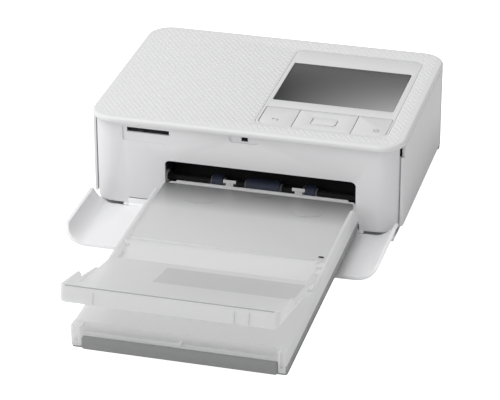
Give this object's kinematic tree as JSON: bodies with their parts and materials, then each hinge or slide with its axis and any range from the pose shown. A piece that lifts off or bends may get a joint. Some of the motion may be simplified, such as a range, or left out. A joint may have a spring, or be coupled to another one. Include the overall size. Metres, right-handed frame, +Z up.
{
  "type": "printer",
  "caption": "Compact photo printer with an open front door, a loaded paper cassette with a raised cover, a side cover, a display with keys, and its feed rollers, gears and thermal head.",
  "frame": {"origin": "Centre of the housing's outline on the table under the feet, the height of the rest face.", "axes": "X to the right seen from the front, Y to the rear, Z up; the cassette comes out along -Y."},
  "size_m": [0.1822, 0.3151, 0.0576],
  "materials": {
    "housing_top": "matte",
    "housing_plastic": "matte",
    "door_plastic": "matte",
    "rubber_black": "matte",
    "steel_bright": "satin",
    "steel_sheet": "satin",
    "shaft_dark": "satin",
    "panel_grey": "satin",
    "screen_glass": "gloss",
    "inner_dark": "matte",
    "key_plastic": "satin",
    "board_green": "satin",
    "roller_rubber": "matte",
    "gear_plastic": "satin",
    "motor_steel": "satin",
    "ribbon_case": "satin",
    "ribbon_film": "gloss",
    "sink_aluminium": "satin",
    "head_ceramic": "satin",
    "cassette_grey": "satin",
    "cassette_clear": "satin",
    "paper_white": "matte"
  },
  "bodies": {
    "housing": {"top_cover": "housing_top", "front_shell": "housing_plastic", "left_side_panel": "housing_plastic", "rear_shell": "housing_plastic", "terminal_cover": "housing_plastic", "battery_terminal_block": "inner_dark", "base_pan": "inner_dark", "rubber_feet": "rubber_black", "housing_screws": "steel_bright", "door_hinge_pins": "steel_bright", "side_cover_pins": "steel_bright", "panel_bezel": "panel_grey", "display_window": "screen_glass", "display_module": "inner_dark", "panel_carrier": "inner_dark", "key_board": "board_green", "chassis_frame": "steel_sheet", "head_pivot_shaft": "steel_bright", "shaft_bushes": "gear_plastic", "main_board": "board_green", "data_port": "steel_bright", "power_inlet": "inner_dark", "card_board": "board_green", "card_reader": "steel_bright", "feed_motor": "motor_steel", "motor_bracket": "steel_sheet", "ribbon_cassette_shell": "ribbon_case", "ribbon_film": "ribbon_film", "feed_guide": "inner_dark", "rear_guide": "inner_dark"},
    "door": {"front_door": "door_plastic"},
    "side_door": {"side_cover": "housing_plastic"},
    "menu": {"menu_key": "key_plastic"},
    "pad": {"direction_pad": "key_plastic"},
    "confirm": {"confirm_button": "key_plastic"},
    "power": {"power_key": "key_plastic"},
    "platen": {"platen_shaft": "steel_bright", "platen_roller": "roller_rubber", "platen_gear": "gear_plastic"},
    "rear_idler": {"rear_idler_gear": "gear_plastic"},
    "grip": {"grip_shaft": "steel_bright", "grip_roller": "roller_rubber", "grip_gear": "gear_plastic"},
    "front_idler": {"front_idler_gear": "gear_plastic"},
    "pickup": {"pickup_shaft": "shaft_dark", "pickup_tyres": "roller_rubber", "pickup_gear": "gear_plastic"},
    "pinion": {"motor_pinion": "steel_bright"},
    "pinch": {"pinch_roller": "steel_bright"},
    "takeup": {"takeup_spool": "ribbon_film"},
    "supply": {"supply_spool": "ribbon_film"},
    "head": {"head_bracket": "steel_sheet", "heat_sink": "sink_aluminium", "thermal_head": "head_ceramic"},
    "cassette": {"cassette_base": "cassette_grey", "cassette_case": "cassette_clear", "paper_stack": "paper_white"},
    "inner_cover": {"cassette_inner_cover": "cassette_clear"},
    "outer_cover": {"cassette_outer_cover": "cassette_clear"}
  },
  "joints": [
    {"name": "cassette_slide", "type": "slide", "parent": "housing", "child": "cassette", "axis": [0, -0.9511, 0.309], "range_m": [0, 0.27]},
    {"name": "door_hinge", "type": "hinge", "parent": "housing", "child": "door", "pos_m": [0, -0.0654, 0.0022], "axis": [-1, 0, 0], "range_deg": [0, 90]},
    {"name": "inner_cover_hinge", "type": "hinge", "parent": "cassette", "child": "inner_cover", "pos_m": [0.01075, -0.1383, 0.02125], "axis": [1, 0, 0], "range_deg": [0, 75]},
    {"name": "outer_cover_hinge", "type": "hinge", "parent": "cassette", "child": "outer_cover", "pos_m": [0.01075, -0.1585, 0.0216], "axis": [1, 0, 0], "range_deg": [-154, 0]},
    {"name": "side_cover_hinge", "type": "hinge", "parent": "housing", "child": "side_door", "pos_m": [0.0901, 0.0507, 0.03], "axis": [0, 0, 1], "range_deg": [0, 90]},
    {"name": "menu_key_press", "type": "slide", "parent": "housing", "child": "menu", "axis": [0, 0, -1], "range_m": [0, 0.00035], "stiffness_N_per_m": 400},
    {"name": "direction_pad_press", "type": "slide", "parent": "housing", "child": "pad", "axis": [0, 0, -1], "range_m": [0, 0.00035], "stiffness_N_per_m": 400},
    {"name": "power_key_press", "type": "slide", "parent": "housing", "child": "power", "axis": [0, 0, -1], "range_m": [0, 0.00035], "stiffness_N_per_m": 400},
    {"name": "confirm_press", "type": "slide", "parent": "housing", "child": "confirm", "axis": [0, 0, -1], "range_m": [0, 0.00035], "stiffness_N_per_m": 400},
    {"name": "head_lift", "type": "hinge", "parent": "housing", "child": "head", "pos_m": [0.01, 0.042, 0.0385], "axis": [-1, 0, 0], "range_deg": [0, 2.8]},
    {"name": "platen_spin", "type": "hinge", "parent": "housing", "child": "platen", "pos_m": [0.01, -0.006, 0.019], "axis": [1, 0, 0], "continuous": true},
    {"name": "rear_idler_spin", "type": "hinge", "parent": "housing", "child": "rear_idler", "pos_m": [-0.054, 0.01929, 0.02296], "axis": [1, 0, 0], "continuous": true},
    {"name": "grip_spin", "type": "hinge", "parent": "housing", "child": "grip", "pos_m": [0.01, 0.04, 0.021], "axis": [1, 0, 0], "continuous": true},
    {"name": "front_idler_spin", "type": "hinge", "parent": "housing", "child": "front_idler", "pos_m": [-0.054, -0.03253, 0.0228], "axis": [1, 0, 0], "continuous": true},
    {"name": "pickup_spin", "type": "hinge", "parent": "housing", "child": "pickup", "pos_m": [0.01, -0.054, 0.018], "axis": [1, 0, 0], "continuous": true},
    {"name": "pinion_spin", "type": "hinge", "parent": "housing", "child": "pinion", "pos_m": [-0.054, 0.0028, 0.03424], "axis": [1, 0, 0], "continuous": true},
    {"name": "pinch_spin", "type": "hinge", "parent": "housing", "child": "pinch", "pos_m": [0.01, 0.04, 0.0298], "axis": [1, 0, 0], "continuous": true},
    {"name": "takeup_spin", "type": "hinge", "parent": "housing", "child": "takeup", "pos_m": [0.0115, -0.03, 0.036], "axis": [1, 0, 0], "continuous": true},
    {"name": "supply_spin", "type": "hinge", "parent": "housing", "child": "supply", "pos_m": [0.0115, 0.02, 0.036], "axis": [1, 0, 0], "continuous": true}
  ],
  "couplings": [
    {"joint": "door_hinge", "follows": "cassette_slide", "rad_per_m": 5.8178},
    {"joint": "rear_idler_spin", "follows": "platen_spin", "ratio": -1},
    {"joint": "grip_spin", "follows": "platen_spin", "ratio": 1.6},
    {"joint": "front_idler_spin", "follows": "platen_spin", "ratio": -0.91429},
    {"joint": "pickup_spin", "follows": "platen_spin", "ratio": 1.6},
    {"joint": "pinion_spin", "follows": "platen_spin", "ratio": -2.6667},
    {"joint": "pinch_spin", "follows": "platen_spin", "ratio": -2.5},
    {"joint": "supply_spin", "follows": "takeup_spin", "ratio": 0.6875}
  ]
}
